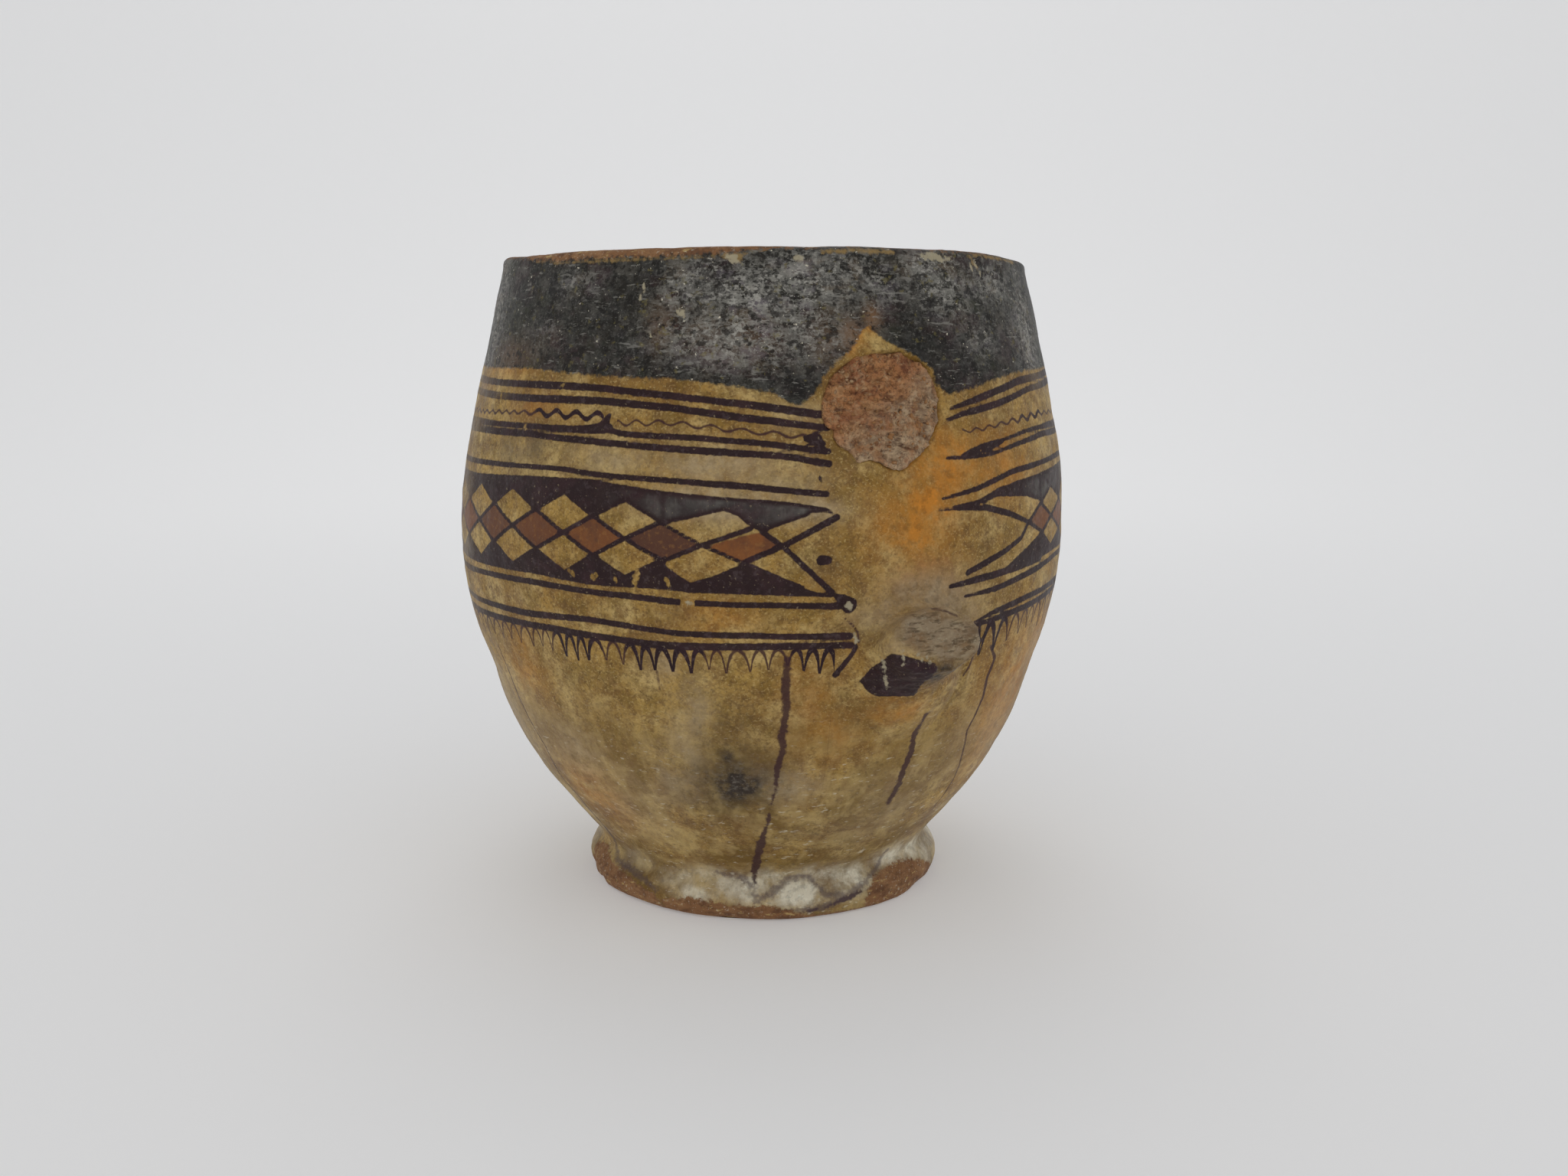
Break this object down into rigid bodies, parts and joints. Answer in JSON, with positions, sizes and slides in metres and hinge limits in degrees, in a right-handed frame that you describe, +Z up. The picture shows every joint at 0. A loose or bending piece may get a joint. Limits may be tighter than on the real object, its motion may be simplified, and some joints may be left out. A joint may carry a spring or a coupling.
{
  "type": "earthenware drinking pot",
  "caption": "Barrel-shaped hand-built earthenware drinking pot on a low flared foot, with painted geometric bands and the broken roots of its lost handle.",
  "frame": {"origin": "middle of the standing face under the foot, on the pot's axis", "axes": "+Z up along the pot's axis, -Y towards the side where the handle was, +X to the right seen from that side"},
  "size_m": [0.1754, 0.1884, 0.18],
  "materials": {
    "raw_clay": "bare low-fired terracotta, matt and gritty",
    "ochre_slip": "burnished ochre slip with a thin worn resin coat",
    "black_slip": "worn grey-black slip, matt",
    "broken_clay": "rough broken terracotta",
    "worn_clay": "worn slip over broken clay, dusty grey"
  },
  "bodies": {
    "root": {"base_disc": "raw_clay", "foot_ring": "ochre_slip", "lower_wall": "ochre_slip", "belly_wall": "ochre_slip", "shoulder_wall": "ochre_slip", "rim_coil": "black_slip", "upper_handle_root": "broken_clay", "lower_handle_root": "worn_clay"}
  },
  "joints": []
}
